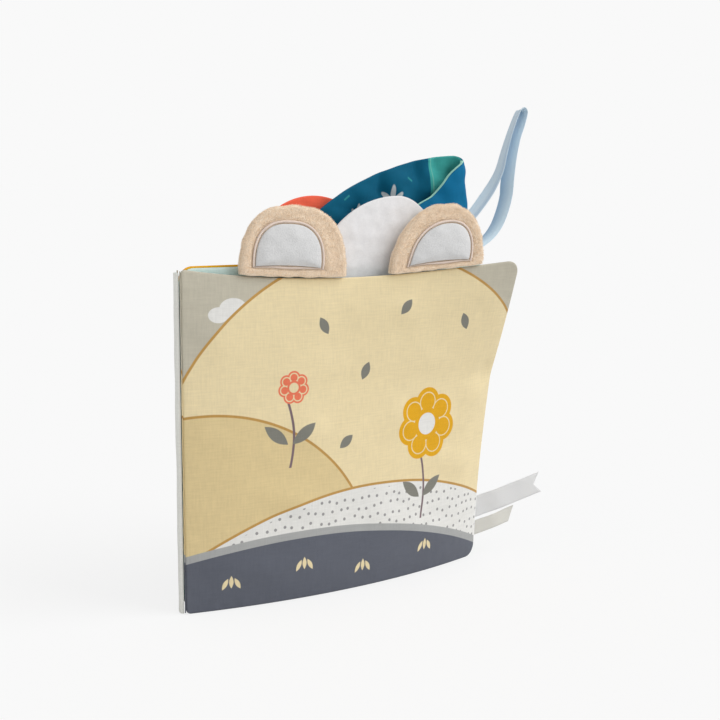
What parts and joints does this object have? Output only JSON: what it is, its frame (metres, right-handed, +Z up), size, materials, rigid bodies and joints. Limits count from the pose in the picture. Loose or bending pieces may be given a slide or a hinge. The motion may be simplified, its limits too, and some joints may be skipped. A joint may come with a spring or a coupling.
{
  "type": "cloth activity book",
  "caption": "Soft cloth book for a baby, standing a little open, with padded covers and leaves, plush ears, crinkle flaps, ribbon loop and tags.",
  "frame": {"origin": "on the floor, under the middle of the box round the book as it stands", "axes": "+Z up; the spine is at -X and the free edges at +X; the front cover faces -Y"},
  "size_m": [0.2524, 0.0872, 0.2695],
  "materials": {
    "spine_cloth": "printed polyester",
    "aqua_cloth": "printed polyester",
    "printed_cover": "printed polyester, padded",
    "wadding": "polyester fibre",
    "squeaker_plastic": "moulded",
    "mint_cloth": "printed polyester",
    "yellow_cloth": "printed polyester",
    "coral_cloth": "printed polyester",
    "greige_cloth": "printed polyester",
    "beige_plush": "short plush",
    "white_fleece": "brushed fleece",
    "beige_thread": "satin stitch",
    "white_cloth": "brushed polyester",
    "blue_cloth": "printed polyester",
    "crinkle_film": "thin film",
    "light_blue_satin": "satin ribbon",
    "white_satin": "satin tape",
    "beige_tape": "woven tape"
  },
  "bodies": {
    "spine": {"spine_cover": "spine_cloth", "spine_lining": "aqua_cloth"},
    "front_cover": {"front_cover_cloth": "printed_cover", "front_cover_wadding": "wadding", "squeaker": "squeaker_plastic", "front_cover_lining": "aqua_cloth"},
    "aqua_leaf": {"aqua_leaf_front": "aqua_cloth", "aqua_leaf_wadding": "wadding", "aqua_leaf_back": "mint_cloth"},
    "yellow_leaf": {"yellow_leaf_front": "yellow_cloth", "yellow_leaf_wadding": "wadding", "yellow_leaf_back": "coral_cloth"},
    "back_cover": {"back_cover_lining": "mint_cloth", "back_cover_wadding": "wadding", "back_cover_cloth": "greige_cloth"},
    "left_ear": {"left_ear_front": "beige_plush", "left_ear_back": "beige_plush", "left_ear_stuffing": "wadding", "left_ear_patch": "white_fleece", "left_ear_stitching": "beige_thread"},
    "right_ear": {"right_ear_front": "beige_plush", "right_ear_back": "beige_plush", "right_ear_stuffing": "wadding", "right_ear_patch": "white_fleece", "right_ear_stitching": "beige_thread"},
    "white_flap": {"white_flap_front": "white_cloth", "white_flap_wadding": "wadding", "white_flap_back": "white_cloth"},
    "blue_flap": {"blue_flap_inner_cloth": "blue_cloth", "blue_flap_film": "crinkle_film", "blue_flap_outer_cloth": "blue_cloth"},
    "coral_flap": {"coral_flap_front": "coral_cloth", "coral_flap_wadding": "wadding", "coral_flap_back": "coral_cloth"},
    "ribbon": {"ribbon_loop": "light_blue_satin"},
    "swallowtail": {"swallowtail_tag": "white_satin"},
    "small_label": {"small_tag": "beige_tape"}
  },
  "joints": [
    {"name": "front_cover_turn", "type": "hinge", "parent": "spine", "child": "front_cover", "pos_m": [-0.12391, -0.02422, 0], "axis": [0, 0, -1], "range_deg": [0, 150]},
    {"name": "aqua_leaf_turn", "type": "hinge", "parent": "spine", "child": "aqua_leaf", "pos_m": [-0.12355, -0.0208, 0], "axis": [0, 0, -1], "range_deg": [0, 60]},
    {"name": "back_cover_turn", "type": "hinge", "parent": "spine", "child": "back_cover", "pos_m": [-0.12127, -0.01437, 0], "axis": [0, 0, 1], "range_deg": [0, 120]},
    {"name": "yellow_leaf_turn", "type": "hinge", "parent": "spine", "child": "yellow_leaf", "pos_m": [-0.12267, -0.01751, 0], "axis": [0, 0, 1], "range_deg": [0, 30]},
    {"name": "left_ear_fold", "type": "hinge", "parent": "front_cover", "child": "left_ear", "pos_m": [-0.0633, -0.03138, 0.17929], "axis": [0.9956, -0.0809, -0.0471], "range_deg": [-2, 90], "stiffness_Nm_per_rad": 0.01},
    {"name": "right_ear_fold", "type": "hinge", "parent": "front_cover", "child": "right_ear", "pos_m": [0.02143, -0.03829, 0.18059], "axis": [0.9941, -0.0862, 0.0655], "range_deg": [-2, 90], "stiffness_Nm_per_rad": 0.01},
    {"name": "white_flap_fold", "type": "hinge", "parent": "aqua_leaf", "child": "white_flap", "pos_m": [0.00358, -0.02602, 0.1738], "axis": [0.9998, -0.0174, 0], "range_deg": [-2, 1], "stiffness_Nm_per_rad": 0.01},
    {"name": "blue_flap_fold", "type": "hinge", "parent": "yellow_leaf", "child": "blue_flap", "pos_m": [-0.05172, -0.01479, 0.1831], "axis": [0.9993, 0.0384, 0], "range_deg": [-8, 3], "stiffness_Nm_per_rad": 0.02},
    {"name": "coral_flap_fold", "type": "hinge", "parent": "back_cover", "child": "coral_flap", "pos_m": [-0.03864, -0.00656, 0.1823], "axis": [0.9956, 0.0941, 0], "range_deg": [-90, 3], "stiffness_Nm_per_rad": 0.01},
    {"name": "ribbon_fold", "type": "hinge", "parent": "back_cover", "child": "ribbon", "pos_m": [0.05992, 0.00276, 0.1823], "axis": [0.9956, 0.0941, 0], "range_deg": [-20, 5], "stiffness_Nm_per_rad": 0.01},
    {"name": "swallowtail_tag_fold", "type": "hinge", "parent": "front_cover", "child": "swallowtail", "pos_m": [0.07261, -0.00283, 0.0228], "axis": [0.0181, -0.0801, 0.9966], "range_deg": [-30, 60], "stiffness_Nm_per_rad": 0.003},
    {"name": "small_tag_fold", "type": "hinge", "parent": "front_cover", "child": "small_label", "pos_m": [0.07247, -0.00219, 0.0118], "axis": [0.0131, -0.056, 0.9983], "range_deg": [-30, 60], "stiffness_Nm_per_rad": 0.003}
  ],
  "couplings": [
    {"joint": "aqua_leaf_turn", "follows": "front_cover_turn", "ratio": 0.4},
    {"joint": "yellow_leaf_turn", "follows": "back_cover_turn", "ratio": 0.25}
  ]
}
